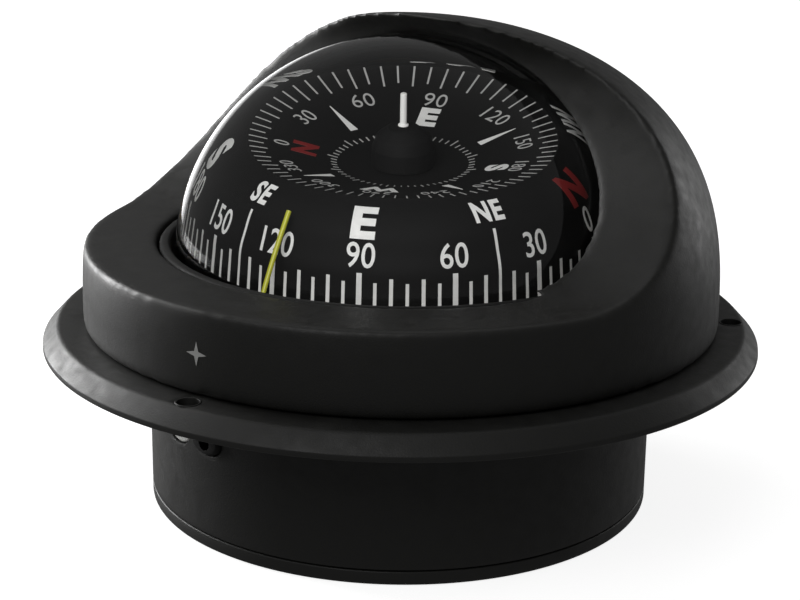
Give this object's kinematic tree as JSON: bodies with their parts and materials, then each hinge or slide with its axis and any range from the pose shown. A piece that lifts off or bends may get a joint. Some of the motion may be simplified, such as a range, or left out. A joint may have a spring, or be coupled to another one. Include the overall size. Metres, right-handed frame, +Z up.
{
  "type": "ship compass",
  "caption": "Flush-mount ship compass: a hooded black housing on a flanged barrel, with a liquid-filled clear dome over a gimballed compass card.",
  "frame": {"origin": "centre of the base cover's underside", "axes": "+Z up along the barrel's axis; -Y is the front, where the lubber line is; +X is to the right of someone facing the compass"},
  "size_m": [0.165, 0.165, 0.1105],
  "materials": {
    "housing_plastic": "fine-textured satin black moulded plastic",
    "case_plastic": "fine-textured satin black moulded plastic",
    "rubber": "matte black rubber",
    "clear_plastic": "polished clear dome plastic",
    "bowl_plastic": "smooth black moulded plastic",
    "card_black": "matte black card with printed white marks",
    "lubber_yellow": "olive yellow lubber line",
    "white_plastic": "plain white plastic",
    "brass": "turned brass, lightly brushed",
    "stainless_steel": "brushed stainless steel",
    "magnet_alloy": "dark sintered magnet alloy",
    "jewel": "polished red jewel",
    "lamp_glass": "tinted lamp glass"
  },
  "bodies": {
    "case": {"base_cover": "case_plastic", "base_screw_1": "stainless_steel", "base_screw_2": "stainless_steel", "base_screw_3": "stainless_steel", "base_screw_4": "stainless_steel", "bowl_gasket": "rubber", "cable_gland": "rubber", "clamp_ring": "bowl_plastic", "clamp_screw_1": "stainless_steel", "clamp_screw_2": "stainless_steel", "clamp_screw_3": "stainless_steel", "clamp_screw_4": "stainless_steel", "clamp_screw_5": "stainless_steel", "clamp_screw_6": "stainless_steel", "clear_dome": "clear_plastic", "compensator_plate": "bowl_plastic", "diaphragm_cover": "bowl_plastic", "diaphragm_screw_1": "stainless_steel", "diaphragm_screw_2": "stainless_steel", "diaphragm_screw_3": "stainless_steel", "dome_trim_seal": "rubber", "expansion_diaphragm": "rubber", "filler_plug": "brass", "filler_seal": "rubber", "flange_gasket": "rubber", "hood_housing": "housing_plastic", "housing_screw_1": "stainless_steel", "housing_screw_2": "stainless_steel", "housing_screw_3": "stainless_steel", "housing_screw_4": "stainless_steel", "lamp_bulb": "lamp_glass", "lamp_holder": "white_plastic", "lower_bowl": "bowl_plastic", "lubber_line": "lubber_yellow", "lubber_ring": "bowl_plastic", "mounting_case": "case_plastic", "roll_pin_front": "stainless_steel", "roll_pin_rear": "stainless_steel"},
    "gimbal_ring": {"gimbal_ring": "brass", "pitch_pin_left": "stainless_steel", "pitch_pin_right": "stainless_steel"},
    "gimbal_cradle": {"gimbal_cradle": "bowl_plastic", "ballast_weight": "brass", "pivot_needle": "stainless_steel"},
    "card": {"compass_card": "card_black", "card_float": "white_plastic", "card_magnet_1": "magnet_alloy", "card_magnet_2": "magnet_alloy", "jewel_cup": "jewel", "card_hub": "card_black", "card_pin": "white_plastic"},
    "fore_driver": {"fore_gear_driver": "brass", "fore_magnet_driver": "magnet_alloy"},
    "fore_follower": {"fore_gear_follower": "brass", "fore_magnet_follower": "magnet_alloy"},
    "side_driver": {"side_gear_driver": "brass", "side_magnet_driver": "magnet_alloy"},
    "side_follower": {"side_gear_follower": "brass", "side_magnet_follower": "magnet_alloy"}
  },
  "joints": [
    {"name": "gimbal_roll", "type": "hinge", "parent": "case", "child": "gimbal_ring", "pos_m": [0, 0, 0.047], "axis": [0, 1, 0], "range_deg": [-25, 25]},
    {"name": "gimbal_pitch", "type": "hinge", "parent": "gimbal_ring", "child": "gimbal_cradle", "pos_m": [0, 0, 0.047], "axis": [1, 0, 0], "range_deg": [-25, 25]},
    {"name": "card_spin", "type": "hinge", "parent": "gimbal_cradle", "child": "card", "pos_m": [0, 0, 0.0676], "axis": [0, 0, 1], "continuous": true},
    {"name": "fore_adjuster_turn", "type": "hinge", "parent": "case", "child": "fore_driver", "pos_m": [-0.00895, 0.012, 0.0058], "axis": [0, 0, 1], "range_deg": [-90, 90]},
    {"name": "fore_follower_turn", "type": "hinge", "parent": "case", "child": "fore_follower", "pos_m": [0.00895, 0.012, 0.0058], "axis": [0, 0, 1], "range_deg": [-90, 90]},
    {"name": "side_adjuster_turn", "type": "hinge", "parent": "case", "child": "side_driver", "pos_m": [-0.00895, -0.012, 0.0058], "axis": [0, 0, 1], "range_deg": [-90, 90]},
    {"name": "side_follower_turn", "type": "hinge", "parent": "case", "child": "side_follower", "pos_m": [0.00895, -0.012, 0.0058], "axis": [0, 0, 1], "range_deg": [-90, 90]}
  ],
  "couplings": [
    {"joint": "fore_follower_turn", "follows": "fore_adjuster_turn", "ratio": -1},
    {"joint": "side_follower_turn", "follows": "side_adjuster_turn", "ratio": -1}
  ]
}
